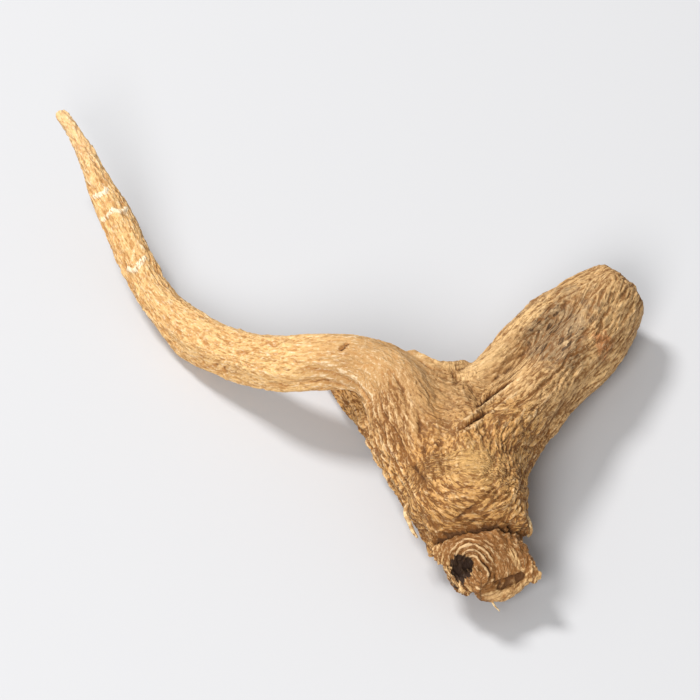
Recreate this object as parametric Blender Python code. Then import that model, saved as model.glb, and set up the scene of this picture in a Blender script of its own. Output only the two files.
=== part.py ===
# American ginseng root, whole and dried: one forked root, lying on a table.
#
# A short plump body carries the neck stub of last year's stem at its front end.
# At its back it forks: a long thin leg swings out to the left and curls away to
# a fine tip, a thick blunt leg made of two grown-together strands goes to the
# right, and the stump of a third leg lies low under the arch of the long one.
# The whole root is one piece, so it is one closed body.
#
# The front (the neck) faces -Y and the two legs point to +Y. The root rests on
# three small flats on z = 0: under the body, the long leg's bend and the blunt
# leg's end. Sizes below are in millimetres and degrees, and the mesh is made in
# metres.

import math

import bmesh
import bpy
import numpy as np
from mathutils import Vector, noise

MM = 0.001

# Stations along the middle of each limb, from where it starts to its tip:
# x, y, height above the table, half-width, half-height.
BODY = [
    (18.4, -34.4, 8.0, 8.3, 6.8),
    (17.7, -29.6, 8.3, 9.0, 8.5),
    (16.8, -23.2, 8.2, 9.4, 8.0),
    (15.4, -16.5, 8.0, 8.6, 7.0),
    (14.8, -12.0, 8.4, 6.4, 5.6),
]
LONG_LEG = [
    (12.3, -28.6, 8.0, 4.3, 6.6),
    (11.0, -22.5, 9.0, 5.3, 6.4),
    (9.6, -15.3, 10.0, 6.0, 6.2),
    (7.5, -9.9, 10.8, 5.5, 5.6),
    (5.2, -7.0, 11.3, 4.8, 4.8),
    (2.2, -5.5, 11.6, 4.1, 4.2),
    (-2.9, -4.6, 11.2, 4.0, 4.0),
    (-9.0, -2.9, 9.0, 4.1, 4.0),
    (-15.2, 1.5, 6.0, 3.5, 3.7),
    (-20.8, 6.8, 3.9, 3.7, 3.9),
    (-24.5, 10.9, 3.5, 3.2, 3.6),
    (-27.7, 15.1, 4.0, 2.75, 3.0),
    (-33.4, 26.0, 7.2, 2.7, 2.7),
    (-36.2, 31.5, 9.2, 2.45, 2.4),
    (-39.1, 37.6, 10.8, 1.8, 1.8),
    (-42.3, 44.4, 11.7, 1.2, 1.2),
    (-43.5, 46.6, 12.0, 1.15, 1.1),
]
INNER_STRAND = [
    (17.2, -10.7, 9.8, 2.7, 2.8),
    (19.5, -7.3, 9.8, 3.4, 3.5),
    (22.5, -3.2, 9.6, 3.7, 3.7),
    (26.5, 3.4, 9.0, 4.0, 4.0),
    (32.0, 11.2, 8.0, 4.1, 4.2),
    (36.8, 16.3, 7.0, 3.8, 4.2),
]
MIDDLE_STRAND = [
    (12.6, -22.3, 10.2, 2.0, 2.4),
    (15.9, -17.7, 10.4, 2.3, 2.6),
    (19.5, -12.4, 10.0, 2.3, 2.6),
    (23.2, -6.9, 9.4, 2.2, 2.4),
    (27.2, -0.4, 8.4, 2.0, 2.2),
]
OUTER_STRAND = [
    (19.9, -31.6, 8.2, 4.3, 5.8),
    (20.2, -24.6, 8.8, 5.6, 6.8),
    (24.2, -15.6, 8.4, 5.0, 6.2),
    (29.9, -5.0, 7.4, 4.7, 5.6),
    (35.3, 4.2, 6.4, 4.6, 5.6),
    (38.4, 11.6, 5.6, 4.2, 5.7),
]
LEG_CORE = [
    (22.6, -10.6, 8.2, 3.6, 4.2),
    (26.0, -4.4, 8.2, 4.6, 4.6),
    (30.0, 1.6, 7.8, 5.6, 4.9),
    (34.7, 9.2, 6.8, 6.3, 5.6),
    (38.0, 14.8, 5.8, 5.6, 5.7),
]
THIRD_LEG = [
    (11.9, -25.0, 6.6, 3.9, 4.8),
    (9.3, -18.4, 5.6, 4.4, 4.6),
    (6.5, -11.8, 4.8, 4.2, 4.2),
    (3.7, -6.0, 4.0, 3.5, 3.6),
    (0.6, -0.5, 3.4, 3.3, 3.2),
    (-1.8, 3.3, 3.1, 2.6, 2.6),
]
NECK = [
    (18.3, -33.3, 7.6, 6.6, 5.2),
    (19.6, -36.7, 6.8, 6.2, 4.4),
    (21.3, -39.8, 6.3, 5.8, 4.3),
    (23.5, -42.3, 5.8, 5.2, 4.0),
]

# How far each limb's end is rounded out past its last station: start, tip.
END_ROUNDING = {
    "body": (2.0, 4.0),
    "long_leg": (4.0, 1.0),
    "inner_strand": (2.4, 3.2),
    "middle_strand": (3.0, 3.0),
    "outer_strand": (4.0, 3.2),
    "leg_core": (4.0, 3.6),
    "third_leg": (4.0, 1.6),
    "neck": (2.0, 1.0),
}
# How square each end is, start and tip: 2 is a round dome, more is blunter.
ROUND_ENDS = (2.2, 2.2)
END_SQUARENESS = {
    "body": (4.0, 2.0),
    "neck": (2.2, 3.6),
    "third_leg": (2.2, 3.0),
}

# Small round swellings: x, y, z, radius.
KNOBS = [
    (26.9, -41.6, 6.4, 1.5),
    (12.8, -38.0, 7.4, 1.0),
    (14.3, -38.4, 7.2, 1.5),
    (10.6, -6.6, 11.2, 2.3),
    (-43.7, 47.0, 12.1, 1.25),
]

RING_SIDES = 28
STATION_STEP = 0.8
FUSE_CELL = 0.5
SOFTEN_PASSES = 5

# The scar that last year's stem left on the neck: a bowl with a raised rim.
SCAR_CENTRE = (17.6, -42.2, 7.4)
SCAR_AXIS = (-0.35, -0.75, 0.56)
SCAR_RADIUS = 2.3
SCAR_DEPTH = 2.0
SCAR_RIM = 0.35

# The flat facet beside the scar, where a bud broke away.
FACET_CENTRE = (23.0, -41.4, 8.6)
FACET_NORMAL = (0.25, -0.62, 0.74)
FACET_RADIUS = 3.2

# Creases: limb, start and end along it, start and end angle round it (0 is its
# right side looking towards the tip, 90 its top), half-width, depth. A negative
# depth is a raised fold.
CREASES = [
    ("long_leg", 10.0, 26.0, 40.0, 58.0, 1.0, 0.7),
    ("long_leg", 4.0, 22.0, 96.0, 100.0, 1.0, 0.35),
    ("long_leg", 2.0, 20.0, 130.0, 150.0, 1.0, 0.45),
    ("long_leg", 28.0, 50.0, 232.0, 208.0, 0.9, -0.4),
    ("long_leg", 30.0, 50.0, 200.0, 182.0, 0.9, 0.35),
    ("long_leg", 44.0, 64.0, 110.0, 80.0, 0.9, 0.35),
    ("long_leg", 62.0, 96.0, 100.0, 60.0, 0.8, 0.28),
    ("long_leg", 66.0, 100.0, 150.0, 140.0, 0.8, 0.22),
    ("body", 2.0, 19.0, 108.0, 96.0, 1.0, 0.55),
    ("body", 3.0, 16.0, 140.0, 136.0, 0.9, 0.35),
    ("outer_strand", 12.0, 40.0, 20.0, 12.0, 1.0, 0.35),
    ("outer_strand", 16.0, 42.0, 60.0, 52.0, 0.9, 0.25),
    ("leg_core", 2.0, 22.0, 100.0, 96.0, 1.0, 0.5),
    ("inner_strand", 6.0, 28.0, 130.0, 120.0, 0.9, 0.3),
    ("third_leg", 2.0, 26.0, 110.0, 100.0, 0.9, 0.4),
]

# Wrinkles of the shrunken skin: spacing across the fibres, stretch along them
# and height, for the coarse folds and for the finer ones between them.
FOLD_SPACING = 3.8
FOLD_STRETCH = 6.0
FOLD_HEIGHT = 1.0
WRINKLE_SPACING = 2.3
WRINKLE_STRETCH = 5.0
WRINKLE_HEIGHT = 0.8
# Towards the neck the skin is tighter and its folds lower.
CALM_REACH = 8.0
CALM_SHARE = 0.5
# Rings that squeeze the body where it meets the neck.
SHOULDER_RING_SPACING = 2.4
SHOULDER_RING_HEIGHT = 0.12
SHOULDER_RING_REACH = 9.0

FACE_COUNT = 11000

# Where the root touches the table: x, y. The skin there sags over REST_REACH and
# is cut flat, REST_DEPTH deep.
REST_SPOTS = [(17.6, -27.6), (-22.4, 8.6), (37.2, 10.4)]
REST_REACH = 9.0
REST_DEPTH = 0.35

ROOT_COLOUR = (0.62, 0.43, 0.22, 1.0)
ROOT_ROUGHNESS = 0.82


def smooth_stations(stations, step):
    """Return close stations on a smooth curve through the given ones."""
    rows = np.array(stations, float)
    gaps = np.linalg.norm(np.diff(rows[:, :3], axis=0), axis=1)
    along = np.concatenate(([0.0], np.cumsum(gaps)))
    slopes = np.gradient(rows, along, axis=0)
    count = max(4, int(along[-1] / step) + 1)
    result = []
    for s in np.linspace(0.0, along[-1], count):
        i = min(int(np.searchsorted(along, s, side="right")) - 1, len(gaps) - 1)
        h = gaps[i]
        t = (s - along[i]) / h
        result.append(
            (2 * t**3 - 3 * t**2 + 1) * rows[i]
            + (t**3 - 2 * t**2 + t) * h * slopes[i]
            + (3 * t**2 - 2 * t**3) * rows[i + 1]
            + (t**3 - t**2) * h * slopes[i + 1]
        )
    return np.array(result)


class Limb:
    """A limb's smooth middle line with its side and up directions."""

    def __init__(self, stations):
        rows = smooth_stations(stations, STATION_STEP)
        self.middle = rows[:, :3]
        self.half = rows[:, 3:5]
        steps = np.linalg.norm(np.diff(self.middle, axis=0), axis=1)
        self.along = np.concatenate(([0.0], np.cumsum(steps)))
        tangent = np.gradient(self.middle, axis=0)
        self.tangent = tangent / np.linalg.norm(tangent, axis=1)[:, None]
        side = np.cross(self.tangent, (0.0, 0.0, 1.0))
        self.side = side / np.linalg.norm(side, axis=1)[:, None]
        self.up = np.cross(self.side, self.tangent)

    def coordinates(self, points):
        """Return distance along, sideways, upwards and relative radius."""
        nearest = np.empty(len(points), int)
        for start in range(0, len(points), 4000):
            block = points[start:start + 4000]
            gap = ((block[:, None, :] - self.middle[None, :, :]) ** 2).sum(axis=2)
            nearest[start:start + 4000] = gap.argmin(axis=1)
        offset = points - self.middle[nearest]
        ahead = (offset * self.tangent[nearest]).sum(axis=1)
        across = (offset * self.side[nearest]).sum(axis=1)
        upward = (offset * self.up[nearest]).sum(axis=1)
        half = self.half[nearest]
        beyond = np.abs(ahead) / half.mean(axis=1)
        radius = np.sqrt((across / half[:, 0]) ** 2 + (upward / half[:, 1]) ** 2 + beyond**2)
        return self.along[nearest] + ahead, across, upward, radius


def limb_tube(mesh, limb, rounding, squareness):
    """Add a limb's closed tube with rounded ends to a bmesh."""
    rings = []
    last = len(limb.middle) - 1
    caps = 6

    def add_ring(i, shift, scale):
        ring = []
        for k in range(RING_SIDES):
            angle = 2 * math.pi * k / RING_SIDES
            point = (
                limb.middle[i]
                + limb.tangent[i] * shift
                + limb.side[i] * math.cos(angle) * limb.half[i, 0] * scale
                + limb.up[i] * math.sin(angle) * limb.half[i, 1] * scale
            )
            ring.append(mesh.verts.new(point * MM))
        rings.append(ring)

    for j in range(1, caps):
        t = 1 - j / caps
        add_ring(0, -rounding[0] * t, (1 - t ** squareness[0]) ** (1 / squareness[0]))
    for i in range(last + 1):
        add_ring(i, 0.0, 1.0)
    for j in range(1, caps):
        t = j / caps
        add_ring(last, rounding[1] * t, (1 - t ** squareness[1]) ** (1 / squareness[1]))
    start = mesh.verts.new((limb.middle[0] - limb.tangent[0] * rounding[0]) * MM)
    tip = mesh.verts.new((limb.middle[last] + limb.tangent[last] * rounding[1]) * MM)
    for lower, upper in zip(rings, rings[1:]):
        for k in range(RING_SIDES):
            n = (k + 1) % RING_SIDES
            mesh.faces.new((lower[k], lower[n], upper[n], upper[k]))
    for k in range(RING_SIDES):
        n = (k + 1) % RING_SIDES
        mesh.faces.new((start, rings[0][n], rings[0][k]))
        mesh.faces.new((tip, rings[-1][k], rings[-1][n]))


def apply_modifiers(thing):
    """Replace an object's mesh with its evaluated one."""
    view = bpy.context.evaluated_depsgraph_get()
    mesh = bpy.data.meshes.new_from_object(thing.evaluated_get(view))
    old = thing.data
    thing.modifiers.clear()
    thing.data = mesh
    bpy.data.meshes.remove(old)


def read_points(mesh):
    flat = np.empty(len(mesh.vertices) * 3)
    mesh.vertices.foreach_get("co", flat)
    return flat.reshape(-1, 3) / MM


def read_normals(mesh):
    flat = np.empty(len(mesh.vertices) * 3)
    mesh.vertices.foreach_get("normal", flat)
    return flat.reshape(-1, 3)


def write_points(mesh, points):
    mesh.vertices.foreach_set("co", (points * MM).ravel())
    mesh.update()


def skin_wrinkle(across, upward, along, spacing, stretch, shift):
    """Ridged noise, drawn out along the fibres: 0 in a valley to 1 on a ridge."""
    point = Vector((across / spacing, upward / spacing, along / (spacing * stretch)))
    bend = noise.noise(point * 0.6 + Vector((shift + 7.1, 0.0, 0.0)))
    point.x += 0.5 * bend
    value = noise.noise(point + Vector((0.0, shift, 0.0)))
    return 1.0 - min(1.0, abs(value) * 3.2)


# The limbs as closed tubes, with the small swellings.
LIMBS = {
    "body": Limb(BODY),
    "long_leg": Limb(LONG_LEG),
    "inner_strand": Limb(INNER_STRAND),
    "middle_strand": Limb(MIDDLE_STRAND),
    "outer_strand": Limb(OUTER_STRAND),
    "leg_core": Limb(LEG_CORE),
    "third_leg": Limb(THIRD_LEG),
    "neck": Limb(NECK),
}

for leftover in list(bpy.data.objects):
    bpy.data.objects.remove(leftover, do_unlink=True)

shape = bmesh.new()
for name, limb in LIMBS.items():
    limb_tube(shape, limb, END_ROUNDING[name], END_SQUARENESS.get(name, ROUND_ENDS))
for x, y, z, radius in KNOBS:
    knob = bmesh.ops.create_icosphere(shape, subdivisions=2, radius=radius * MM)
    bmesh.ops.translate(shape, verts=knob["verts"], vec=Vector((x, y, z)) * MM)
bmesh.ops.recalc_face_normals(shape, faces=shape.faces)
mesh = bpy.data.meshes.new("ginseng_root")
shape.to_mesh(mesh)
shape.free()
root = bpy.data.objects.new("ginseng_root", mesh)
bpy.context.scene.collection.objects.link(root)

# The tubes are fused into one skin, and the creases between them softened.
fuse = root.modifiers.new("fuse", "REMESH")
fuse.mode = "VOXEL"
fuse.voxel_size = FUSE_CELL * MM
soften = root.modifiers.new("soften", "SMOOTH")
soften.factor = 0.5
soften.iterations = SOFTEN_PASSES
apply_modifiers(root)

# The skin is shaped along the fibres of each limb.
points = read_points(root.data)
normals = read_normals(root.data)
places = {name: limb.coordinates(points) for name, limb in LIMBS.items()}
pull = {name: 1.0 / np.maximum(place[3], 0.3) ** 10 for name, place in places.items()}
total_pull = sum(pull.values())
lift = np.zeros(len(points))

for number, (name, place) in enumerate(places.items()):
    share = pull[name] / total_pull
    along, across, upward, radius = place
    slim = np.clip(LIMBS[name].half.mean() / 5.0, 0.6, 1.0)
    for i in np.nonzero(share > 0.02)[0]:
        fold = skin_wrinkle(
            across[i], upward[i], along[i], FOLD_SPACING * slim, FOLD_STRETCH, 3.0 * number
        )
        wrinkle = skin_wrinkle(
            across[i], upward[i], along[i], WRINKLE_SPACING, WRINKLE_STRETCH, 11.0 + number
        )
        calm = 1.0
        if name == "body":
            calm = CALM_SHARE + (1 - CALM_SHARE) * min(1.0, max(0.0, along[i]) / CALM_REACH)
        lift[i] += share[i] * slim * calm * (
            FOLD_HEIGHT * (fold - 0.6) * 0.5 + WRINKLE_HEIGHT * (wrinkle - 0.6) * 0.5
        )

# Rings squeeze the shoulder towards the neck.
along, across, upward, radius = places["body"]
share = pull["body"] / total_pull
for i in np.nonzero((share > 0.05) & (along < SHOULDER_RING_REACH))[0]:
    wander = noise.noise(Vector((across[i], upward[i], along[i])) * 0.22)
    phase = (along[i] + 1.6 * wander) / SHOULDER_RING_SPACING
    fade = min(1.0, (SHOULDER_RING_REACH - along[i]) / 5.0)
    lift[i] += share[i] * fade * SHOULDER_RING_HEIGHT * math.sin(2 * math.pi * phase)

# Rings round the neck, one for each year's growth.
along, across, upward, radius = places["neck"]
share = pull["neck"] / total_pull
for i in np.nonzero(share > 0.05)[0]:
    phase = (along[i] + 0.12 * across[i]) / 2.1
    lift[i] += share[i] * 0.28 * math.sin(2 * math.pi * phase)

# Long creases and folds, one by one.
for name, start, end, angle_in, angle_out, half_width, depth in CREASES:
    along, across, upward, radius = places[name]
    limb = LIMBS[name]
    t = np.clip((along - start) / (end - start), 0.0, 1.0)
    centre = np.radians(angle_in + (angle_out - angle_in) * t)
    angle = np.arctan2(upward, across)
    turn = (angle - centre + math.pi) % (2 * math.pi) - math.pi
    gap = np.hypot(across, upward) * np.abs(turn)
    beyond = np.maximum(np.maximum(start - along, along - end), 0.0)
    near = np.exp(-((gap / half_width) ** 2) - (beyond / 1.5) ** 2)
    ends = np.clip(np.minimum(along - start, end - along) / 3.0 + 0.4, 0.0, 1.0)
    lift -= depth * near * ends * np.clip(2.6 - 1.6 * radius, 0.0, 1.0)

points = points + normals * lift[:, None]

# The flat facet on the neck.
centre = np.array(FACET_CENTRE)
normal = np.array(FACET_NORMAL) / np.linalg.norm(FACET_NORMAL)
offset = points - centre
height = offset @ normal
spread = np.linalg.norm(offset - np.outer(height, normal), axis=1)
over = np.clip(height, 0.0, None) * (spread < FACET_RADIUS) * (np.abs(height) < 3.0)
points = points - np.outer(over * 0.85, normal)

# The stem scar, a bowl with a raised rim.
centre = np.array(SCAR_CENTRE)
axis = np.array(SCAR_AXIS) / np.linalg.norm(SCAR_AXIS)
offset = points - centre
height = offset @ axis
spread = np.linalg.norm(offset - np.outer(height, axis), axis=1)
near = np.abs(height) < 3.5
bowl = np.clip(1.0 - (spread / SCAR_RADIUS) ** 2, 0.0, 1.0) * near
rim = np.exp(-(((spread - SCAR_RADIUS * 1.15) / 0.5) ** 2)) * near
points = points + np.outer(SCAR_RIM * rim - SCAR_DEPTH * bowl, axis)

# The skin sags to the table at the three resting spots.
for x, y in REST_SPOTS:
    away = np.hypot(points[:, 0] - x, points[:, 1] - y)
    lowest = points[away < REST_REACH / 2, 2].min()
    share = np.clip(1.0 - (away / REST_REACH) ** 2, 0.0, 1.0) ** 2
    under = np.clip((7.0 - points[:, 2]) / 5.0, 0.0, 1.0)
    points[:, 2] -= (lowest + REST_DEPTH) * share * under
write_points(root.data, points)

# Fewer faces where the skin is plain.
thin = root.modifiers.new("thin", "DECIMATE")
thin.ratio = FACE_COUNT / sum(len(p.vertices) - 2 for p in root.data.polygons)
thin.use_collapse_triangulate = True
apply_modifiers(root)

# The three low points are cut flat on the table, and the root's box is centred on
# the origin.
shape = bmesh.new()
shape.from_mesh(root.data)
cut = bmesh.ops.bisect_plane(
    shape,
    geom=shape.verts[:] + shape.edges[:] + shape.faces[:],
    dist=1e-9,
    plane_co=(0.0, 0.0, 0.0),
    plane_no=(0.0, 0.0, -1.0),
    clear_outer=True,
)
rims = [edge for edge in shape.edges if edge.is_boundary]
bmesh.ops.holes_fill(shape, edges=rims, sides=0)
bmesh.ops.recalc_face_normals(shape, faces=shape.faces)
low = [min(v.co[axis] for v in shape.verts) for axis in range(2)]
high = [max(v.co[axis] for v in shape.verts) for axis in range(2)]
middle = Vector((-(low[0] + high[0]) / 2, -(low[1] + high[1]) / 2, 0.0))
bmesh.ops.translate(shape, verts=shape.verts, vec=middle)
shape.to_mesh(root.data)
shape.free()
root.data.shade_smooth()

skin = bpy.data.materials.new("dried_root")
skin.use_nodes = True
shader = skin.node_tree.nodes["Principled BSDF"]
shader.inputs["Base Color"].default_value = ROOT_COLOUR
shader.inputs["Roughness"].default_value = ROOT_ROUGHNESS
shader.inputs["Metallic"].default_value = 0.0
root.data.materials.clear()
root.data.materials.append(skin)
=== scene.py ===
import math

import bmesh
import bpy
import numpy as np
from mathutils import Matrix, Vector, kdtree, noise


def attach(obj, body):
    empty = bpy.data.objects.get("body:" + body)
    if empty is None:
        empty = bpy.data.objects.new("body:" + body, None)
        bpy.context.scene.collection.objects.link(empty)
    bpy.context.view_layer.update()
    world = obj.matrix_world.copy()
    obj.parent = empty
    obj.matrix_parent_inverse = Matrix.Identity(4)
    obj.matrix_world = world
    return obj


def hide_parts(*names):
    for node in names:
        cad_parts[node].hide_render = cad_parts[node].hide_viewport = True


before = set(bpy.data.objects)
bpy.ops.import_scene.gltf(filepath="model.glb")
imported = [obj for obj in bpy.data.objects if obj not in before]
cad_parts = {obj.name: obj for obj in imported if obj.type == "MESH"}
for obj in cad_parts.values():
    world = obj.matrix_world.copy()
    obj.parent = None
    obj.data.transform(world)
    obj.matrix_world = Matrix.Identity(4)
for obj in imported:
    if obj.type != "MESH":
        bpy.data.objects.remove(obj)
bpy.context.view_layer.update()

# The root's skin: one closed, shrunken, fibrous skin over the whole root, which grew and
# dried as one piece. Its wrinkles follow the fibres along every limb, so each limb's
# middle line is given: stations of x, y, z, half-width and half-height in millimetres.
MM = 0.001
LIMB_STATIONS = {
    "body": [
        (19.3, -35.3, 8.0, 8.3, 6.8),
        (18.6, -30.5, 8.3, 9.0, 8.5),
        (17.7, -24.1, 8.2, 9.4, 8.0),
        (16.3, -17.4, 8.0, 8.6, 7.0),
        (15.7, -12.9, 8.4, 6.4, 5.6),
    ],
    "long_leg": [
        (13.2, -29.5, 8.0, 4.3, 6.6),
        (11.9, -23.4, 9.0, 5.3, 6.4),
        (10.5, -16.2, 10.0, 6.0, 6.2),
        (8.4, -10.8, 10.8, 5.5, 5.6),
        (6.1, -7.9, 11.3, 4.8, 4.8),
        (3.1, -6.4, 11.6, 4.1, 4.2),
        (-2.0, -5.5, 11.2, 4.0, 4.0),
        (-8.1, -3.8, 9.0, 4.1, 4.0),
        (-14.3, 0.6, 6.0, 3.5, 3.7),
        (-19.9, 5.9, 3.9, 3.7, 3.9),
        (-23.6, 10.0, 3.5, 3.2, 3.6),
        (-26.8, 14.2, 4.0, 2.75, 3.0),
        (-32.5, 25.1, 7.2, 2.7, 2.7),
        (-35.3, 30.6, 9.2, 2.45, 2.4),
        (-38.2, 36.7, 10.8, 1.8, 1.8),
        (-41.4, 43.5, 11.7, 1.2, 1.2),
        (-42.6, 45.7, 12.0, 1.15, 1.1),
    ],
    "inner_strand": [
        (18.1, -11.6, 9.8, 2.7, 2.8),
        (20.4, -8.2, 9.8, 3.4, 3.5),
        (23.4, -4.1, 9.6, 3.7, 3.7),
        (27.4, 2.5, 9.0, 4.0, 4.0),
        (32.9, 10.3, 8.0, 4.1, 4.2),
        (37.7, 15.4, 7.0, 3.8, 4.2),
    ],
    "outer_strand": [
        (20.8, -32.5, 8.2, 4.3, 5.8),
        (21.1, -25.5, 8.8, 5.6, 6.8),
        (25.1, -16.5, 8.4, 5.0, 6.2),
        (30.8, -5.9, 7.4, 4.7, 5.6),
        (36.2, 3.3, 6.4, 4.6, 5.6),
        (39.3, 10.7, 5.6, 4.2, 5.7),
    ],
    "third_leg": [
        (12.8, -25.9, 6.6, 3.9, 4.8),
        (10.2, -19.3, 5.6, 4.4, 4.6),
        (7.4, -12.7, 4.8, 4.2, 4.2),
        (4.6, -6.9, 4.0, 3.5, 3.6),
        (1.5, -1.4, 3.4, 3.3, 3.2),
        (-0.9, 2.4, 3.1, 2.6, 2.6),
    ],
    "neck": [
        (19.2, -34.2, 7.6, 6.6, 5.2),
        (20.5, -37.6, 6.8, 6.2, 4.4),
        (22.2, -40.7, 6.3, 5.8, 4.3),
        (24.4, -43.2, 5.8, 5.2, 4.0),
    ],
}


def smooth_line(rows, step):
    """Rows that start with x, y, z, joined by a smooth curve and evenly spaced."""
    rows = np.array(rows, float)
    gaps = np.linalg.norm(np.diff(rows[:, :3], axis=0), axis=1)
    knots = np.concatenate(([0.0], np.cumsum(gaps)))
    slopes = np.gradient(rows, knots, axis=0)
    places = np.linspace(0.0, knots[-1], int(knots[-1] / step) + 2)
    i = np.clip(np.searchsorted(knots, places, side="right") - 1, 0, len(gaps) - 1)
    h = gaps[i][:, None]
    t = (places - knots[i])[:, None] / h
    return (
        (2 * t**3 - 3 * t**2 + 1) * rows[i]
        + (t**3 - 2 * t**2 + t) * h * slopes[i]
        + (3 * t**2 - 2 * t**3) * rows[i + 1]
        + (t**3 - t**2) * h * slopes[i + 1]
    )


class Limb:
    """A limb's smooth middle line, with its side and up directions."""

    def __init__(self, stations):
        rows = smooth_line(stations, step=0.6)
        self.middle = rows[:, :3]
        self.half = rows[:, 3:5]
        steps = np.linalg.norm(np.diff(self.middle, axis=0), axis=1)
        self.along = np.concatenate(([0.0], np.cumsum(steps)))
        tangent = np.gradient(self.middle, axis=0)
        self.tangent = tangent / np.linalg.norm(tangent, axis=1)[:, None]
        side = np.cross(self.tangent, (0.0, 0.0, 1.0))
        self.side = side / np.linalg.norm(side, axis=1)[:, None]
        self.up = np.cross(self.side, self.tangent)

    def coordinates(self, points):
        """Distance along, sideways, upwards, relative radius and direction."""
        nearest = np.empty(len(points), int)
        handful = 4000
        for start in range(0, len(points), handful):
            block = points[start:start + handful]
            gap = ((block[:, None, :] - self.middle[None, :, :]) ** 2).sum(axis=2)
            nearest[start:start + handful] = gap.argmin(axis=1)
        offset = points - self.middle[nearest]
        ahead = (offset * self.tangent[nearest]).sum(axis=1)
        across = (offset * self.side[nearest]).sum(axis=1)
        upward = (offset * self.up[nearest]).sum(axis=1)
        half = self.half[nearest]
        beyond = np.abs(ahead) / half.mean(axis=1)
        radius = np.sqrt(
            (across / half[:, 0]) ** 2 + (upward / half[:, 1]) ** 2 + beyond**2
        )
        return self.along[nearest] + ahead, across, upward, radius, self.tangent[nearest]


def add_strip(form, rows, sides=12):
    """A closed round strip through points of x, y, z and radius, in millimetres."""
    rows = smooth_line(rows, step=0.25)
    ahead = np.gradient(rows[:, :3], axis=0)
    ahead /= np.linalg.norm(ahead, axis=1)[:, None]
    side = np.cross(ahead, (0.1, 0.2, 1.0))
    side /= np.linalg.norm(side, axis=1)[:, None]
    up = np.cross(side, ahead)
    turns = np.arange(sides) * math.tau / sides
    rings = []
    for i, row in enumerate(rows):
        spots = row[:3] + row[3] * (
            np.cos(turns)[:, None] * side[i] + np.sin(turns)[:, None] * up[i]
        )
        rings.append([form.verts.new(Vector(spot) * MM) for spot in spots])
    for first, second in zip(rings, rings[1:]):
        for k in range(sides):
            form.faces.new((first[k], first[k - 1], second[k - 1], second[k]))
    form.faces.new(rings[0])
    form.faces.new(rings[-1][::-1])


def make_piece(name, form):
    """A piece of the scene from a mesh under work, which is used up."""
    mesh = bpy.data.meshes.new(name)
    form.to_mesh(mesh)
    form.free()
    piece = bpy.data.objects.new(name, mesh)
    bpy.context.scene.collection.objects.link(piece)
    return piece


# Folds and rims that grew proud of the form, as points of x, y, z and radius: the lip
# across the fork with two fills below it, the blunt leg's rounded start, the thick rim
# under the neck's end, the lump on its left and the backing of the knob on its right.
PROUD_STRIPS = {
    "fork_lip": [(10.3, -4.3, 12.6, 0.5), (11.8, -6.0, 12.6, 0.9), (13.3, -7.1, 12.4, 1.1),
     (15.2, -7.4, 12.1, 1.1), (17.1, -6.5, 11.6, 1.0), (18.4, -5.2, 11.2, 0.6)],
    "fork_fill": [(11.1, -7.8, 12.4, 1.0), (13.1, -9.3, 12.2, 1.5), (14.8, -10.1, 12.0, 1.6),
     (16.5, -9.0, 11.5, 1.4), (17.8, -7.3, 11.0, 1.0)],
    "body_fill": [(12.2, -10.6, 12.6, 1.6), (13.6, -13.2, 12.4, 2.1), (14.9, -16.0, 12.4, 2.2),
     (16.0, -19.0, 12.6, 1.8)],
    "blunt_start": [(17.4, -10.3, 11.9, 0.8), (18.3, -9.5, 11.7, 1.4), (19.6, -8.4, 11.4, 1.9),
     (21.2, -6.6, 11.3, 2.0), (23.1, -4.0, 11.3, 1.9), (25.0, -1.2, 11.2, 1.6)],
    "neck_rim": [(21.3, -45.4, 5.0, 0.6), (22.6, -45.6, 4.6, 0.95), (23.9, -45.5, 4.4, 1.0),
     (25.2, -44.8, 4.6, 1.0), (26.5, -43.9, 4.9, 0.85), (27.6, -43.1, 5.4, 0.75),
     (28.4, -42.8, 6.1, 0.7)],
    "left_lump": [(14.2, -39.2, 7.7, 0.7), (14.5, -40.0, 7.3, 1.0), (15.0, -41.0, 7.0, 1.0),
     (15.6, -41.9, 6.9, 0.6)],
    "knob_back": [(27.9, -42.8, 6.5, 0.5), (28.4, -42.9, 6.2, 0.65), (28.7, -43.0, 5.9, 0.5)],
}
form = bmesh.new()
form.from_mesh(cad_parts["ginseng_root"].data)
for rows in PROUD_STRIPS.values():
    add_strip(form, rows)
bmesh.ops.recalc_face_normals(form, faces=form.faces)
skin = make_piece("root_skin", form)


def apply_modifiers():
    view = bpy.context.evaluated_depsgraph_get()
    result = bpy.data.meshes.new_from_object(skin.evaluated_get(view))
    skin.modifiers.clear()
    skin.data = result


def fuse(voxel):
    """The skin's overlapping forms joined into one; the voxel is in millimetres."""
    modifier = skin.modifiers.new("fuse", "REMESH")
    modifier.mode = "VOXEL"
    modifier.voxel_size = voxel * MM
    apply_modifiers()


fuse(0.32)

# The stem scar is a ragged bowl, cut from the fused form with a lumpy egg.
SCAR_MIDDLE = np.array((18.2, -43.1, 6.2))
SCAR_WIDE = np.array((0.79, 0.41, 0.45))
SCAR_LONG = np.array((0.62, -0.78, -0.07))
SCAR_DEEP = np.array((0.0, 0.737, -0.676))
HALF_WIDTH, HALF_LENGTH, HALF_DEPTH = 1.65, 3.3, 1.9
form = bmesh.new()
bmesh.ops.create_icosphere(form, subdivisions=4, radius=1.0)
for vert in form.verts:
    lumpy = 0.7 * noise.noise(vert.co * 2.3 + Vector((4.0, 1.0, 2.0)))
    lumpy += 0.8 * noise.noise(vert.co * 4.6 + Vector((1.0, 8.0, 3.0)))
    x, y, z = vert.co * (1.0 + lumpy)
    offset = HALF_WIDTH * x * SCAR_WIDE + HALF_LENGTH * y * SCAR_LONG
    vert.co = Vector(SCAR_MIDDLE + (offset + HALF_DEPTH * z * SCAR_DEEP)) * MM
bmesh.ops.recalc_face_normals(form, faces=form.faces)
egg = make_piece("egg", form)
cut = skin.modifiers.new("cut", "BOOLEAN")
cut.operation = "DIFFERENCE"
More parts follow.
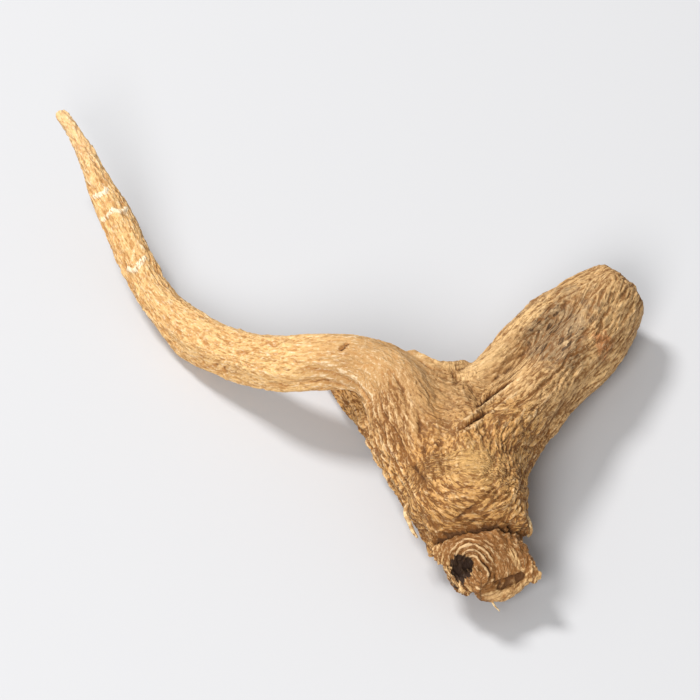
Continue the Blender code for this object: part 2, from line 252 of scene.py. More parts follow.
cut.object = egg
apply_modifiers()
bpy.data.objects.remove(egg)

# Thin edges on the neck's end: what is left of the bowl's wall on its outer side, the
# edge on its inner side, a peg between them, the ridge beside the flat facet, the
# curled knob that the ridge ends in and a bud on the left. The wall is thicker below.
THIN_EDGES = [
    [(15.5, -41.7, 7.2, 0.42), (16.2, -42.8, 6.8, 0.34), (16.8, -43.6, 6.2, 0.32),
     (17.6, -44.6, 5.6, 0.32), (18.3, -45.3, 5.1, 0.34), (18.9, -45.6, 4.8, 0.3)],
    [(19.9, -44.2, 7.5, 0.3), (20.3, -45.2, 7.1, 0.36), (20.8, -45.9, 6.4, 0.42),
     (21.5, -46.0, 5.4, 0.5)],
    [(19.3, -44.8, 6.4, 0.35), (19.5, -45.5, 5.8, 0.36), (19.5, -45.9, 5.2, 0.32),
     (19.4, -46.1, 4.6, 0.2)],
    [(25.2, -41.3, 9.0, 0.2), (25.8, -42.1, 8.5, 0.3), (26.4, -42.7, 7.6, 0.32),
     (27.2, -43.4, 6.8, 0.38)],
    [(27.2, -43.4, 6.8, 0.38), (27.7, -43.0, 7.3, 0.4), (28.4, -42.8, 7.3, 0.42),
     (29.0, -43.1, 6.9, 0.44), (29.1, -43.6, 6.2, 0.44), (28.6, -44.0, 5.8, 0.44),
     (27.8, -44.1, 5.8, 0.4)],
    [(14.6, -39.9, 7.6, 0.5), (14.0, -39.7, 7.5, 0.42), (13.4, -39.5, 7.3, 0.5),
     (13.2, -39.2, 6.9, 0.4)],
]
WALL_BACK = [
    (16.2, -40.9, 6.0, 0.8), (16.9, -41.9, 5.5, 0.9), (17.5, -42.8, 4.9, 1.0),
    (18.2, -43.7, 4.3, 1.0), (18.9, -44.4, 4.0, 0.8), (19.7, -44.8, 3.9, 0.7),
]
form = bmesh.new()
form.from_mesh(skin.data)
for rows in THIN_EDGES + [WALL_BACK]:
    add_strip(form, rows)
form.to_mesh(skin.data)
form.free()
fuse(0.215)
fine = skin.data
count = len(fine.vertices)

flat = np.empty(count * 3)
fine.vertices.foreach_get("co", flat)
points = flat.reshape(-1, 3) / MM
pairs = np.empty(len(fine.edges) * 2, int)
fine.edges.foreach_get("vertices", pairs)
pairs = pairs.reshape(-1, 2)
degree = np.bincount(pairs.ravel(), minlength=count)[:, None]


def relax(values, passes, strength=0.5):
    """Values drawn towards the mean of each vertex's neighbours."""
    for _ in range(passes):
        total = np.empty_like(values)
        for column, value in enumerate(values.T):
            total[:, column] = np.bincount(
                pairs[:, 0], weights=value[pairs[:, 1]], minlength=count
            ) + np.bincount(pairs[:, 1], weights=value[pairs[:, 0]], minlength=count)
        values = values + strength * (total / degree - values)
    return values


def patch(centre, size, edge=0.35):
    """A soft spot round a place in millimetres: 1 in its middle, 0 outside."""
    gap = np.linalg.norm((points - np.array(centre)) / np.array(size), axis=1)
    return np.clip((1.0 + edge - gap) / (2 * edge), 0.0, 1.0)


# The copied form is smoothed until its flat faces are gone, then swollen back. The
# neck's end keeps its sharp rims.
sharp = patch((22.0, -43.5, 6.0), (7.5, 4.0, 6.0), 0.2)[:, None]
EVEN, SWELL, CRISP = 26, 0.6, 4
smooth = relax(points, EVEN)
smooth = smooth + SWELL * (smooth - relax(smooth, EVEN))
points = sharp * relax(points, CRISP) + (1.0 - sharp) * smooth

# The skin is drawn in at the left shoulder, where the neck leaves the body. It is
# evened out by the scar and over the fills, and worn flat on the facet by the scar.
for centre, size, edge, move in (
    ((11.4, -36.9, 6.2), (2.0, 2.2, 4.5), 0.5, (1.9, 0.9, 0.2)),
    ((9.6, -32.3, 7.0), (2.8, 4.2, 6.0), 0.6, (0.8, 0.15, 0.0)),
    ((13.6, -39.6, 5.4), (1.6, 2.0, 4.0), 0.5, (0.8, 0.3, 0.0)),
):
    points += patch(centre, size, edge)[:, None] * np.array(move)
for centre, size, passes in (
    ((21.9, -45.0, 6.8), (1.5, 1.3, 1.8), 16),
    ((12.6, -11.6, 13.8), (3.8, 5.0, 2.6), 110),
):
    weight = patch(centre, size, 0.4)[:, None]
    points = points + weight * (relax(points, passes) - points)
FACET_NORMAL = np.array((0.271, -0.587, 0.763))
facet = patch((24.6, -43.2, 7.9), (2.1, 1.9, 2.2), 0.3)
above = np.clip((points - np.array((24.8, -43.3, 7.6))) @ FACET_NORMAL, -0.4, 1.0)
points -= (facet * above)[:, None] * FACET_NORMAL


def set_points(values):
    fine.vertices.foreach_set("co", (values * MM).ravel())
    fine.update()


def get_normals():
    flat = np.empty(count * 3)
    fine.vertices.foreach_get("normal", flat)
    return flat.reshape(-1, 3)


set_points(points)
normals = get_normals()

limbs = {name: Limb(stations) for name, stations in LIMB_STATIONS.items()}
places = {name: limb.coordinates(points) for name, limb in limbs.items()}


def shares(power):
    """How much each limb rules each vertex."""
    pull = {
        name: 1.0 / np.maximum(place[3], 0.3) ** power for name, place in places.items()
    }
    total = sum(pull.values())
    return {name: value / total for name, value in pull.items()}


def beyond(name, start, reach):
    """A limb's share, which comes in over a reach from a distance along it."""
    return share[name] * np.clip((places[name][0] - start) / reach, 0.0, 1.0)


share = shares(10)
leg_far = beyond("long_leg", 28.0, 12.0)
arch = beyond("long_leg", 12.0, 10.0) - leg_far
strands = share["inner_strand"] + beyond("outer_strand", 14.0, 8.0)
bulge = patch((19.6, -30.6, 15.5), (3.6, 4.6, 4.0), 0.6)

# The way the fibres lie: along each limb, but round the bulge over the shoulder and
# round the stem scar on the neck.
lie = sum(share[name][:, None] * places[name][4] for name in limbs)


def bend_round(offset, weight):
    """The lie turned, where the weight is 1, to run round what the offset starts at."""
    around = np.cross(normals, offset)
    around /= np.maximum(np.linalg.norm(around, axis=1), 1e-9)[:, None]
    around *= np.where((around * lie).sum(axis=1) < 0.0, -1.0, 1.0)[:, None]
    return lie * (1.0 - weight[:, None]) + around * weight[:, None]


BULGE_TOP = np.array((19.7, -31.2, 16.5))
SCAR_SIDE = np.array(((19.7, -42.5, 7.7), (21.1, -45.3, 8.1)))
side = SCAR_SIDE[1] - SCAR_SIDE[0]
side -= (side @ SCAR_DEEP) * SCAR_DEEP
from_scar = points - SCAR_SIDE[0]
from_scar -= (from_scar @ SCAR_DEEP)[:, None] * SCAR_DEEP
down_side = np.clip(from_scar @ side / (side @ side), 0.0, 1.0)
from_scar -= down_side[:, None] * side
gap = np.linalg.norm(points - BULGE_TOP, axis=1)
round_bulge = np.clip((13.0 - gap) / 5.0, 0.0, 1.0)
round_bulge *= np.clip((-29.0 - points[:, 1]) / 4.0, 0.0, 1.0)
round_scar = np.clip((-37.5 - points[:, 1]) / 2.0, 0.0, 1.0)
lie = bend_round(points - BULGE_TOP, round_bulge)
lie = bend_round(from_scar, round_scar)


def near_strip(rows, reach):
    """Vertices by a strip, their closeness to it (1 on it) and the way it runs."""
    line = smooth_line(rows, step=0.3)
    low, high = line[:, :3].min(axis=0) - 3.0, line[:, :3].max(axis=0) + 3.0
    near = np.nonzero(((points > low) & (points < high)).all(axis=1))[0]
    gap = np.linalg.norm(points[near, None, :] - line[None, :, :3], axis=2) - line[:, 3]
    ahead = np.gradient(line[:, :3], axis=0)[gap.argmin(axis=1)]
    ahead /= np.linalg.norm(ahead, axis=1)[:, None]
    ahead *= np.where((ahead * lie[near]).sum(axis=1) < 0.0, -1.0, 1.0)[:, None]
    return near, np.clip(1.0 - gap.min(axis=1) / reach, 0.0, 1.0), ahead


folded, rim, pale = np.zeros((3, count))
for name, marked in (
    ("fork_lip", folded), ("fork_fill", folded), ("blunt_start", folded), ("neck_rim", rim)
):
    near, weight, ahead = near_strip(PROUD_STRIPS[name], 1.0)
    lie[near] += weight[:, None] * (ahead - lie[near])
    marked[near] = np.maximum(marked[near], weight)

# Pale places: the thin edges, the rims, a painted highlight along the top of the inner strand,
# the edge of the blunt end, and the cross scars where fine rootlets broke off the long leg.
STRAND_TOP_HIGHLIGHT = [(19.4, -6.3, 12.4, 0.5), (22.1, -2.3, 12.2, 0.7), (24.8, 0.5, 12.6, 0.7),
            (27.5, 4.1, 12.4, 0.7), (29.8, 7.9, 11.9, 0.4)]
BLUNT_EDGE = [(42.5, 12.0, 8.9, 0.2), (42.5, 9.5, 8.9, 0.2), (41.7, 6.4, 7.7, 0.2),
              (40.3, 2.4, 7.3, 0.2), (38.2, -1.8, 7.0, 0.2), (35.8, -5.3, 7.1, 0.2)]
CROSS_SCARS = [
    [(-37.1, 30.4, 10.0), (-36.2, 29.8, 10.9), (-35.5, 30.0, 11.3), (-35.3, 30.8, 11.4)],
    [(-35.5, 26.6, 8.7), (-34.8, 26.6, 9.9), (-34.1, 26.9, 10.6), (-33.0, 26.7, 10.3),
     (-32.2, 28.0, 9.9)],
    [(-31.8, 19.0, 6.1), (-30.6, 17.7, 7.1), (-29.8, 18.8, 7.5), (-29.2, 19.7, 7.9)],
]
for rows, reach, strength in (
    [(rows, 0.45, 1.0) for rows in THIN_EDGES]
    + [([spot + (0.25,) for spot in line], 0.45, 1.0) for line in CROSS_SCARS]
    + [
        (PROUD_STRIPS["neck_rim"], 0.9, 0.65),
        (PROUD_STRIPS["left_lump"], 0.8, 1.0),
        (PROUD_STRIPS["fork_lip"][1:-1], 0.8, 0.75),
        (PROUD_STRIPS["blunt_start"][1:-1], 0.8, 0.75),
        (STRAND_TOP_HIGHLIGHT, 1.3, 0.85),
        (BLUNT_EDGE, 0.5, 0.8),
    ]
):
    near, weight, _ = near_strip(rows, reach)
    pale[near] = np.maximum(pale[near], strength * weight)

# How rough the skin is, how long its wrinkles are and how far they stray.
calm = np.maximum(patch((8.5, -13.5, 14.0), (13.5, 11.5, 9.0), 0.45), 0.8 * folded)
rough = 1.0 - 0.40 * leg_far - 0.36 * arch - 0.5 * strands - 0.6 * bulge
rough = rough * (1.0 - 0.6 * calm) - 0.5 * facet - 0.1 * (points[:, 1] < -39.0)
flank = np.clip((11.0 - points[:, 0]) / 3.0, 0.0, 1.0) * (points[:, 1] < -14.0)
rough = np.clip(rough, 0.1, 1.0) * (1.0 + 0.7 * flank) * (1.0 - 0.55 * rim)
stretch = 1.15 - 0.4 * leg_far + 0.15 * arch + 1.05 * strands + 1.5 * flank
stray = 0.34 - 0.2 * strands - 0.2 * flank
folds, relief, mark = np.zeros((3, count))
finder = kdtree.KDTree(count)
for i, point in enumerate(points):
    finder.insert(point, i)
finder.balance()
dice = np.random.RandomState(11)


def wrinkle(heights, number, length, width, depth, ridges):
    """Short, tapering, slightly curved valleys and ridges along the fibres."""
    for spot in dice.randint(0, count, number):
        size = dice.uniform(0.7, 1.35, 3)
        reach = length * stretch[spot] * size[0]
        half = width * size[1]
        angle, curve = dice.normal() * stray[spot], dice.normal() * 0.1
        kind = dice.random_sample()
        near = finder.find_range(points[spot], reach)
        near = np.fromiter((item[1] for item in near), int, len(near))
        near = near[(normals[near] * normals[spot]).sum(axis=1) > 0.2]
        offset = points[near] - points[spot]
        across = np.cross(normals[spot], lie[spot])
        ahead = lie[spot] * math.cos(angle) + across * math.sin(angle)
        across = np.cross(normals[spot], ahead)
        run = offset @ ahead
        aside = (offset @ across - curve * run**2 / max(reach, 1.0)) / half
        fade = np.clip(1.0 - (run / reach) ** 2, 0.0, 1.0) ** 1.5
        shape = (aside**2 - 1.0) * np.exp(-0.9 * aside**2)
        if kind < ridges:
            shape = -0.8 * shape
        heights[near] += depth * size[2] * rough[spot] * fade * shape


wrinkle(folds, 380, 3.6, 1.0, 0.12, 0.5)
wrinkle(relief, 10500, 1.2, 0.23, 0.18, 0.15)
wrinkle(relief, 9500, 0.7, 0.18, 0.10, 0.35)
deepest = 0.25 + 0.12 * flank
relief = deepest * np.tanh(relief / deepest)

# Creases and ridges that each lie in one place: height (below 0 for a groove),
# half-width and points, in millimetres.
SINGLE_LINES = [
    # two straight lips where the grown-together strands meet, with a groove by each
    (0.75, 0.30, [(16.2, -24.0, 15.3), (18.9, -21.5, 15.7), (21.5, -15.2, 12.7),
        (23.8, -11.9, 12.2), (26.1, -9.6, 12.5), (27.8, -7.3, 12.4)]),
    (-0.45, 0.28, [(19.8, -18.5, 14.9), (21.8, -13.4, 12.2), (23.8, -10.9, 12.1),
        (25.8, -8.6, 12.2)]),
    (-0.55, 0.26, [(17.0, -24.9, 15.8), (18.5, -23.4, 16.1), (20.8, -19.6, 14.6),
        (22.8, -16.4, 13.8), (24.8, -13.9, 13.7)]),
    (-0.55, 0.28, [(18.0, -24.1, 16.0), (19.6, -21.8, 15.4), (21.2, -19.2, 14.4)]),
    (0.60, 0.32, [(17.3, -26.4, 16.5), (19.2, -24.1, 16.1), (21.5, -20.3, 14.8),
        (24.1, -16.0, 13.9), (26.5, -12.6, 13.5)]),
    # long fibres on the inner strand
    (0.24, 0.26, [(18.4, -8.6, 12.8), (20.5, -7.8, 13.1), (23.1, -4.1, 13.0),
        (26.1, 0.5, 13.1), (29.2, 5.6, 12.6)]),
    (-0.24, 0.24, [(20.1, -9.9, 12.8), (22.5, -7.2, 13.0), (25.1, -3.1, 12.8),
        (27.5, 0.5, 12.9)]),
    (-0.20, 0.24, [(21.1, -11.3, 12.2), (23.5, -8.1, 12.0), (25.5, -5.2, 12.0),
        (27.5, -2.2, 12.0)]),
    (-0.20, 0.22, [(18.4, -6.1, 11.1), (20.8, -3.3, 11.4), (24.1, 0.1, 12.6)]),
    # pale fibres that curve round the blunt end, and straight ones on the lower strand
    (0.22, 0.26, [(42.5, 14.0, 8.9), (42.5, 9.5, 8.9), (41.7, 6.4, 7.7), (40.3, 2.4, 7.3),
        (38.2, -1.8, 7.0), (35.8, -5.3, 7.1)]),
    (-0.12, 0.22, [(41.5, 11.8, 10.1), (41.0, 7.7, 9.7), (39.9, 3.5, 9.4),
        (38.2, -0.6, 9.6), (36.2, -4.1, 9.7)]),
    (0.16, 0.24, [(39.0, 16.2, 10.7), (40.2, 12.1, 11.2), (40.0, 8.5, 10.8),
        (39.3, 4.9, 10.4), (38.2, 1.8, 10.6)]),
    (0.34, 0.24, [(26.1, -19.8, 13.8), (28.8, -15.8, 12.8), (31.4, -11.6, 12.1),
        (34.1, -6.1, 10.6), (36.2, -2.3, 10.7)]),
    (-0.26, 0.22, [(24.5, -18.4, 14.3), (27.1, -14.7, 13.7), (29.8, -10.8, 13.1),
        (32.5, -5.8, 12.1), (34.5, -2.0, 12.2)]),
    # long fibres down the body's left side
    (0.45, 0.28, [(5.3, -19.5, 10.9), (7.0, -23.9, 10.0), (8.7, -28.6, 9.5),
        (10.0, -32.3, 8.9)]),
    (0.50, 0.28, [(5.6, -18.1, 12.7), (7.6, -23.5, 12.4), (9.3, -27.9, 12.0),
        (11.0, -32.3, 11.7), (12.4, -36.5, 11.2)]),
    (-0.48, 0.24, [(4.5, -14.9, 11.6), (6.6, -21.3, 12.1), (8.7, -26.7, 11.8),
        (10.4, -31.6, 11.5), (11.7, -35.9, 11.0)]),
    (-0.58, 0.26, [(6.6, -18.0, 13.5), (8.7, -23.7, 13.9), (10.7, -28.1, 13.6),
        (12.7, -32.4, 13.6), (14.0, -35.5, 13.4)]),
    (0.30, 0.42, [(10.4, -16.4, 15.7), (10.6, -20.4, 15.4), (11.0, -24.1, 14.7),
        (11.5, -27.2, 14.1)]),
    (-0.40, 0.26, [(11.8, -20.6, 15.6), (12.1, -24.4, 15.0), (12.7, -28.5, 14.9),
        (13.7, -32.3, 14.9)]),
    (0.16, 0.34, [(6.2, -15.1, 14.4), (7.3, -17.6, 14.8), (9.1, -22.0, 14.6),
        (10.2, -26.0, 14.2)]),
    # slanting wrinkles low on the body's right
    (-0.52, 0.24, [(17.3, -37.9, 11.6), (19.3, -37.2, 12.8), (21.2, -36.3, 14.2),
        (22.8, -34.0, 14.3)]),
    (0.55, 0.26, [(19.9, -38.0, 11.2), (21.5, -36.7, 12.3), (23.2, -35.3, 13.6)]),
    (-0.50, 0.24, [(18.6, -38.5, 10.9), (20.9, -37.1, 11.8), (22.5, -36.4, 13.4),
        (23.8, -34.5, 13.8)]),
    # folds along the front of the arch that run on down the body's left side
    (0.42, 0.30, [(-6.9, -7.9, 11.5), (-5.2, -8.0, 12.8), (-3.2, -8.1, 13.3),
        (-1.2, -8.6, 13.4), (0.5, -9.2, 12.8), (2.5, -10.2, 12.1), (4.5, -13.4, 12.6),
        (5.9, -16.9, 13.0), (7.3, -21.4, 13.1)]),
    (-0.32, 0.24, [(-6.2, -8.4, 11.2), (-3.9, -8.5, 12.4), (-1.2, -9.0, 12.4),
        (1.1, -9.6, 11.5), (3.5, -12.4, 11.7), (4.9, -15.7, 12.0), (6.3, -20.0, 12.3),
        (7.7, -24.4, 11.9)]),
    (0.36, 0.26, [(-5.6, -8.8, 10.6), (-3.2, -9.0, 11.6), (-0.5, -9.2, 11.2),
        (1.8, -9.9, 10.5), (3.9, -13.3, 11.4), (5.3, -17.4, 12.5), (6.6, -21.5, 11.8),
        (8.0, -25.9, 11.5)]),
    (-0.34, 0.24, [(-4.9, -8.2, 9.4), (-2.6, -8.7, 10.3), (0.1, -9.4, 10.2),
        (2.0, -10.2, 9.8), (4.2, -14.7, 10.9), (5.6, -19.3, 11.6)]),
    (0.36, 0.26, [(-3.9, -8.6, 9.0), (-1.2, -9.2, 9.8), (1.2, -9.8, 9.4),
        (3.2, -12.6, 9.8), (4.6, -16.4, 10.6), (5.6, -19.8, 11.1)]),
    (-0.16, 0.24, [(3.2, -8.6, 15.2), (5.9, -10.5, 15.6), (8.2, -13.2, 15.8),
        (9.6, -16.7, 15.5)]),
    (0.20, 0.28, [(2.2, -9.2, 13.9), (4.9, -11.8, 14.6), (6.9, -15.3, 15.1),
        (8.3, -19.5, 14.9)]),
    # the groove under the lip across the fork, and the one by the blunt leg's start
    (-0.42, 0.26, [(11.5, -7.1, 13.6), (12.5, -8.3, 13.4), (13.8, -9.3, 13.2),
        (15.1, -9.6, 12.9), (16.1, -9.3, 12.6)]),
    (-0.20, 0.24, [(16.3, -8.3, 12.4), (16.7, -10.2, 12.8), (17.2, -11.9, 13.0)]),
    # folds that fan out before the long leg's bend
    (-0.18, 0.22, [(-19.1, 0.1, 3.7), (-16.4, -1.5, 7.6), (-12.8, -2.8, 10.9),
        (-9.0, -3.0, 12.6)]),
    (0.26, 0.22, [(-18.7, -0.3, 3.7), (-15.7, -1.9, 8.0), (-12.2, -3.0, 11.2)]),
    (-0.18, 0.20, [(-18.0, -0.8, 3.5), (-14.6, -2.5, 8.8), (-11.0, -3.4, 11.7)]),
    (0.26, 0.22, [(-17.2, -1.4, 3.9), (-14.4, -3.1, 8.5), (-11.4, -3.9, 11.5)]),
    (-0.18, 0.20, [(-16.1, -2.3, 4.3), (-14.1, -3.8, 8.2), (-11.7, -4.5, 11.2)]),
    (0.20, 0.34, [(-9.4, -5.0, 12.3), (-11.3, -5.1, 10.6), (-11.9, -5.5, 9.5),
        (-11.5, -6.1, 9.3), (-9.8, -6.9, 10.3)]),
    # a small pit on top of the arch
    (-1.20, 0.26, [(0.1, -7.3, 15.0), (0.8, -6.6, 15.4), (1.5, -5.6, 15.4)]),
    # the fold below the neck's crease and the groove inside its rim
    (-0.30, 0.28, [(16.3, -40.0, 9.6), (18.9, -39.9, 10.6), (21.2, -40.9, 10.5),
        (22.5, -41.0, 10.2)]),
    (-0.50, 0.22, [(22.4, -45.6, 6.4), (23.6, -44.6, 6.3), (25.0, -43.8, 6.2),
        (26.6, -43.1, 6.1)]),
    (-0.40, 0.20, [(23.6, -45.4, 5.8), (24.6, -44.6, 5.7), (25.7, -44.0, 5.6)]),
] + [(0.70, 0.24, line) for line in CROSS_SCARS]


def unevenness(scale, shift=0.0):
    """Noise over the skin; the scale is per millimetre."""
    shift = Vector((shift, shift, shift))
    return np.array([noise.noise(Vector(point) * scale + shift) for point in points])


ragged = unevenness(1.3)
for height, half, line in SINGLE_LINES:
    line = smooth_line(line, step=0.15)
    line = points[[finder.find(Vector(spot))[1] for spot in line]]
    for _ in range(2):
        line[1:-1] = (line[:-2] + line[1:-1] + line[2:]) / 3.0
    margin = 3 * half + 0.6
    low, high = line.min(axis=0) - margin, line.max(axis=0) + margin
    near = np.nonzero(((points > low) & (points < high)).all(axis=1))[0]
    gap = np.linalg.norm(points[near, None, :] - line[None, :, :], axis=2)
    place = gap.argmin(axis=1) / (len(line) - 1.0)
    gap = gap.min(axis=1) + 0.25 * ragged[near]
    fade = np.clip(5.0 * np.minimum(place, 1.0 - place) + 0.25, 0.0, 1.0)
    height = (height if height < 0.0 else 0.65 * height) * fade
    mark[near] += height * (0.8 + 0.6 * ragged[near]) * np.exp(-((gap / half) ** 2))

# The skin ends in a ragged lip over a deep crease where the neck leaves the body,
# and the neck is ringed with ridges round the stem scar.
CREASE_NORMAL = np.array((-0.178, 0.912, 0.370))
CREASE_MIDDLE = np.array((20.6, -37.9, 9.7))
above = (points - CREASE_MIDDLE) @ CREASE_NORMAL + 0.7 * ragged
above += 0.35 * unevenness(0.45, 7.0)
LIP_HEIGHT, LIP_WIDTH = 0.42, 1.1
CREASE_DEPTH, CREASE_WIDTH, RING_SPACING = 0.95, 0.42, 0.76
lip = np.where(above > 0.0, LIP_HEIGHT * np.exp(-((above / LIP_WIDTH) ** 2)), 0.0)
crease = -CREASE_DEPTH * np.exp(-(((above + 0.35) / CREASE_WIDTH) ** 2))
gap = np.linalg.norm(from_scar, axis=1)
upper_side = (from_scar @ np.array((0.35, 0.63, 0.69))) / np.maximum(gap, 0.1)
on_neck = np.clip((-above - 0.6) / 0.6, 0.0, 1.0) * (1.0 - 0.95 * facet)
ringed = on_neck * np.clip((gap - 0.5) / 0.3, 0.0, 1.0)
ringed *= np.clip((4.0 - gap) / 0.7, 0.1, 1.0)
ringed *= np.clip(1.2 * upper_side + 0.5, 0.0, 1.0)
steps = np.abs(np.cos(math.pi * (gap + 0.16 * ragged - 1.0) / RING_SPACING))
mark += ringed * (0.60 * steps**0.8 - 0.40)
relief *= 1.0 - 0.7 * ringed
torn_edge = patch(SCAR_MIDDLE, (3.0, 3.4, 3.0), 0.4)
mark += 0.24 * torn_edge * unevenness(2.1)

lift = folds + relief + mark + lip + crease
points = points + normals * lift[:, None]
points[:, 2] = np.maximum(points[:, 2], 0.0)
set_points(points)


def store(name, values):
    layer = fine.attributes.new(name, "FLOAT", "POINT")
    layer.data.foreach_set("value", np.ascontiguousarray(values, np.float32))


# What the colours read: the height of the wrinkles, which also places painted shade in the
# valleys and a painted highlight on the crests, how far a spot lies below the skin round it,
# for painted shade in hollows and creases, where each tint lies, and coordinates that run with
# the fibres.
hollow_shade_depth = ((relax(points, 74) - points) * get_normals()).sum(axis=1)
marked = relief + 0.2 * folds + (0.8 + 0.5 * on_neck) * mark
store("relief", marked + 0.6 * crease + 0.05 * flank)
store("rough", rough)
store("hollow_shade_depth", hollow_shade_depth)
store("leg", np.clip(leg_far + 0.8 * arch, 0.0, 1.0))
store("strand", np.clip(strands, 0.0, 1.0))
store("neck", np.clip(-above, 0.0, 1.0))
rust = patch((37.9, 0.4, 10.3), (2.3, 2.6, 3.0), 0.7)
dust = 0.6 * patch((32.0, 3.5, 12.6), (9.5, 10.0, 4.5), 0.5)
dust += 0.6 * patch((30.8, -0.7, 12.2), (3.6, 6.0, 3.5), 0.5)
store("dust", dust * (1.0 - 0.8 * rust) * (1.0 - 0.8 * pale))
store("rust", rust)
store("amber", patch((14.0, -23.5, 15.6), (1.6, 6.5, 4.0), 0.8))
store("bulge", bulge)
store("calm", np.maximum(calm, patch((12.5, -19.5, 15.5), (5.0, 6.0, 4.0), 0.5)))
store("pale", pale)
store("tip", np.clip((points[:, 1] - 22.0) / 22.0, 0.0, 1.0) * leg_far)
store("scar", patch(SCAR_MIDDLE + 0.35 * SCAR_WIDE, (2.1, 2.8, 2.7), 0.3))
share = shares(5)
FIBRE_LENGTH = {"body": 3.6, "long_leg": 3.6, "inner_strand": 4.5, "outer_strand": 4.5,
                "third_leg": 3.4, "neck": 2.4}
grain = 0.0
for name, (along, across, upward, _, _) in places.items():
    with_fibres = np.stack((across, upward, along / FIBRE_LENGTH[name]), axis=1)
    grain = grain + share[name][:, None] * with_fibres
for offset, weight, below, down in (
    (points - BULGE_TOP, round_bulge, -1.0, 0.0), (from_scar, round_scar, 1.0, down_side)
):
    gap = np.linalg.norm(offset, axis=1)
    turn = np.arctan2(offset[:, 0], below * (offset[:, 1] + offset[:, 2]))
    ringed = np.stack((gap, offset[:, 1] * 0.3, turn * gap / 3.2 + 1.0 * down), axis=1)
    grain += weight[:, None] * (ringed - grain)
layer = fine.attributes.new("grain", "FLOAT_VECTOR", "POINT")
layer.data.foreach_set("vector", np.ascontiguousarray(grain, np.float32).ravel())
for face in fine.polygons:
    face.use_smooth = True

# The mesh is thinned where it is even, so that its faces go to the wrinkles.
MOST_TRIANGLES = 196000
thin = skin.modifiers.new("thin", "DECIMATE")
thin.ratio = MOST_TRIANGLES / sum(len(face.vertices) - 2 for face in fine.polygons)
apply_modifiers()
fine = skin.data

# Soft noise: a node group, because the torn skin's material uses it too.
soft_noise = bpy.data.node_groups.new("soft_noise", "ShaderNodeTree")
for name, kind in (
    ("Place", "NodeSocketVector"), ("Scale", "NodeSocketFloat"),
    ("Detail", "NodeSocketFloat"), ("Seed", "NodeSocketFloat"),
):
    soft_noise.interface.new_socket(name, in_out="INPUT", socket_type=kind)
soft_noise.interface.new_socket("Amount", in_out="OUTPUT", socket_type="NodeSocketFloat")
given = soft_noise.nodes.new("NodeGroupInput")
shift = soft_noise.nodes.new("ShaderNodeVectorMath")
pattern = soft_noise.nodes.new("ShaderNodeTexNoise")
result = soft_noise.nodes.new("NodeGroupOutput")
for source, socket in (
    (given.outputs["Place"], shift.inputs[0]),
    (given.outputs["Seed"], shift.inputs[1]),
    (shift.outputs[0], pattern.inputs["Vector"]),
    (given.outputs["Scale"], pattern.inputs["Scale"]),
    (given.outputs["Detail"], pattern.inputs["Detail"]),
    (pattern.outputs["Fac"], result.inputs["Amount"]),
):
    soft_noise.links.new(source, socket)

# The skin's colour: tan skin, with cream on the crests as a painted highlight and brown in the
# valleys as painted shade.
material = bpy.data.materials.new("dried_root_skin")
material.use_nodes = True
tree = material.node_tree
shader = tree.nodes["Principled BSDF"]


def add(kind, **settings):
    node = tree.nodes.new(kind)
    for key, value in settings.items():
        setattr(node, key, value)
    return node


def read(name):
    return add("ShaderNodeAttribute", attribute_name=name).outputs["Fac"]


def ramp(source, low, high, strength=1.0):
    node = add("ShaderNodeMapRange", interpolation_type="SMOOTHSTEP")
    node.inputs["From Min"].default_value = low
    node.inputs["From Max"].default_value = high
    node.inputs["To Max"].default_value = strength
    tree.links.new(source, node.inputs["Value"])
    return node.outputs["Result"]


def mix(amount, first, second):
    node = add("ShaderNodeMix", data_type="RGBA")
    tree.links.new(amount, node.inputs["Factor"])
    for value, socket in ((first, node.inputs["A"]), (second, node.inputs["B"])):
        if isinstance(value, tuple):
            socket.default_value = value + (1.0,)
        else:
            tree.links.new(value, socket)
    return node.outputs["Result"]


def blend(first, second, scale=1.0):
    """first + second x scale."""
    node = add("ShaderNodeMath", operation="MULTIPLY_ADD")
    tree.links.new(second, node.inputs[0])
    node.inputs[1].default_value = scale
    tree.links.new(first, node.inputs[2])
    return node.outputs[0]


def cloud(scale, detail=3.0, seed=0.0, along_fibres=False):
    """Soft noise; its scale is per metre, or per millimetre along the fibres."""
    if along_fibres:
        place = add("ShaderNodeAttribute", attribute_name="grain").outputs["Vector"]
    else:
        place = add("ShaderNodeTexCoord").outputs["Object"]
    node = add("ShaderNodeGroup", node_tree=soft_noise)
    tree.links.new(place, node.inputs["Place"])
    for name, value in (("Scale", scale), ("Detail", detail), ("Seed", seed)):
        node.inputs[name].default_value = value
    return node.outputs["Amount"]


def creases(scale, seed, width):
    """Cracked cells stretched along the fibres: 0 in a crack, 1 inside a cell."""
    place = add("ShaderNodeAttribute", attribute_name="grain").outputs["Vector"]
    stray = add("ShaderNodeTexNoise")
    stray.inputs["Scale"].default_value = 0.9 * scale
    tree.links.new(place, stray.inputs["Vector"])
    shift = add("ShaderNodeVectorMath", operation="MULTIPLY_ADD")
    tree.links.new(stray.outputs["Color"], shift.inputs[0])
    shift.inputs[1].default_value = (0.9 / scale,) * 3
    tree.links.new(place, shift.inputs[2])
    shift_more = add("ShaderNodeVectorMath", operation="ADD")
    tree.links.new(shift.outputs[0], shift_more.inputs[0])
    shift_more.inputs[1].default_value = (seed, seed, seed)
    node = add("ShaderNodeTexVoronoi", feature="DISTANCE_TO_EDGE")
    node.inputs["Scale"].default_value = scale
    tree.links.new(shift_more.outputs[0], node.inputs["Vector"])
    return ramp(node.outputs["Distance"], 0.0, width)


def times(first, second):
    node = add("ShaderNodeMath", operation="MULTIPLY")
    tree.links.new(first, node.inputs[0])
    tree.links.new(second, node.inputs[1])
    return node.outputs[0]


